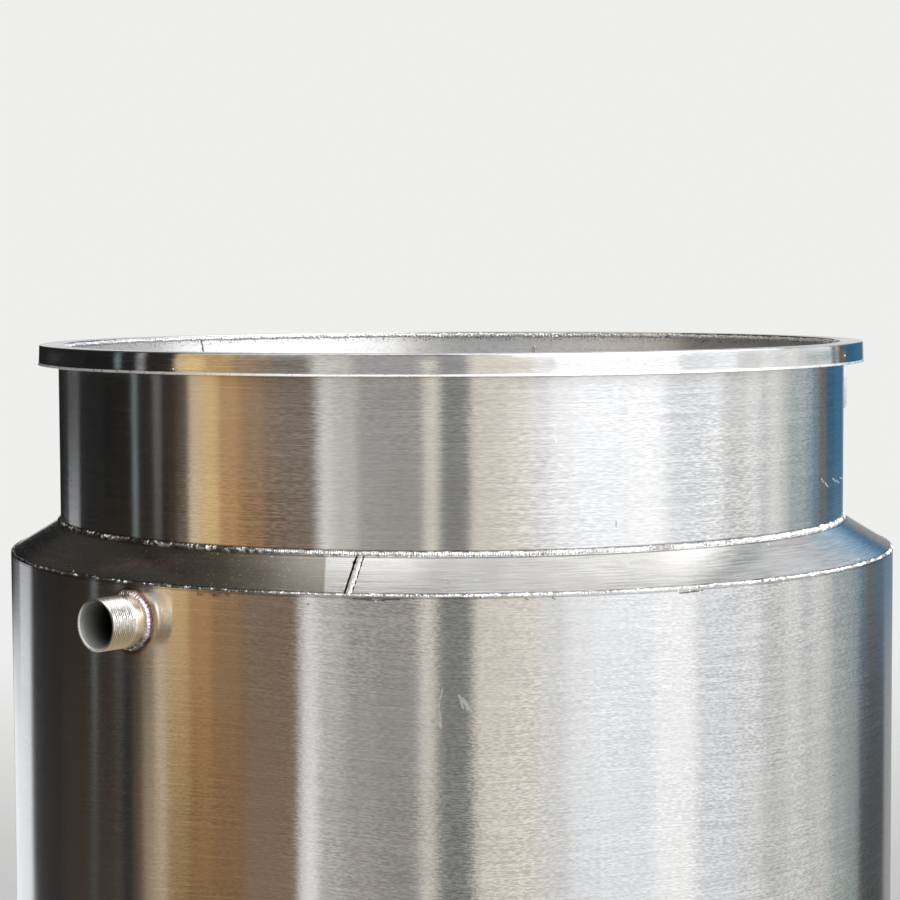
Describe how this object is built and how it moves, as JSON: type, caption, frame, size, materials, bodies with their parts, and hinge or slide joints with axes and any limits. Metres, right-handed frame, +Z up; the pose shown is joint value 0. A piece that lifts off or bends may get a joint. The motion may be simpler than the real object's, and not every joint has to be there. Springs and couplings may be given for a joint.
{
  "type": "open-topped jacketed storage tank",
  "caption": "Upright round tank of brushed stainless sheet with a rolled-angle rim, a narrower neck above a cone-closed jacket, threaded nipples and tube legs.",
  "frame": {"origin": "on the floor, on the tank's upright axis", "axes": "+Z up, -Y out along the upper nipple"},
  "size_m": [0.9026, 0.9834, 1.4],
  "materials": {
    "neck_sheet": "fine brushing round the neck",
    "jacket_sheet": "fine brushing round the jacket",
    "cone_sheet": "fine brushing round the cone, heat tint at the welds",
    "bottom_sheet": "ground and brushed in arcs",
    "rim_steel": "brushed along the ring",
    "rim_bead": "rippled weld bead, as welded",
    "neck_bead": "rippled weld bead, as welded",
    "shoulder_bead": "narrow bright weld bead",
    "seam_bead": "weld bead, ground",
    "ring_bead": "weld bead, ground",
    "collar_bead": "rippled weld collar with heat tint",
    "threaded_pipe": "satin pipe with fine threads",
    "leg_tube": "satin tube",
    "leg_plate": "brushed plate"
  },
  "bodies": {
    "root": {"inner_shell": "neck_sheet", "inner_bottom_cone": "bottom_sheet", "inner_bottom_weld": "ring_bead", "rim_angle": "rim_steel", "rim_weld": "rim_bead", "closing_cone": "cone_sheet", "cone_seam_weld": "seam_bead", "neck_weld": "neck_bead", "jacket_shell": "jacket_sheet", "jacket_bottom_cone": "bottom_sheet", "jacket_bottom_weld": "ring_bead", "shoulder_weld": "shoulder_bead", "upper_nipple": "threaded_pipe", "upper_nipple_weld": "collar_bead", "drain_nipple": "threaded_pipe", "drain_nipple_weld": "collar_bead", "outlet_pipe": "threaded_pipe", "outlet_weld": "collar_bead", "leg_1": "leg_tube", "leg_cap_1": "leg_plate", "leg_pad_1": "leg_plate", "foot_plate_1": "leg_plate", "leg_2": "leg_tube", "leg_cap_2": "leg_plate", "leg_pad_2": "leg_plate", "foot_plate_2": "leg_plate", "leg_3": "leg_tube", "leg_cap_3": "leg_plate", "leg_pad_3": "leg_plate", "foot_plate_3": "leg_plate", "leg_4": "leg_tube", "leg_cap_4": "leg_plate", "leg_pad_4": "leg_plate", "foot_plate_4": "leg_plate", "rim_lug": "rim_steel"}
  },
  "joints": []
}
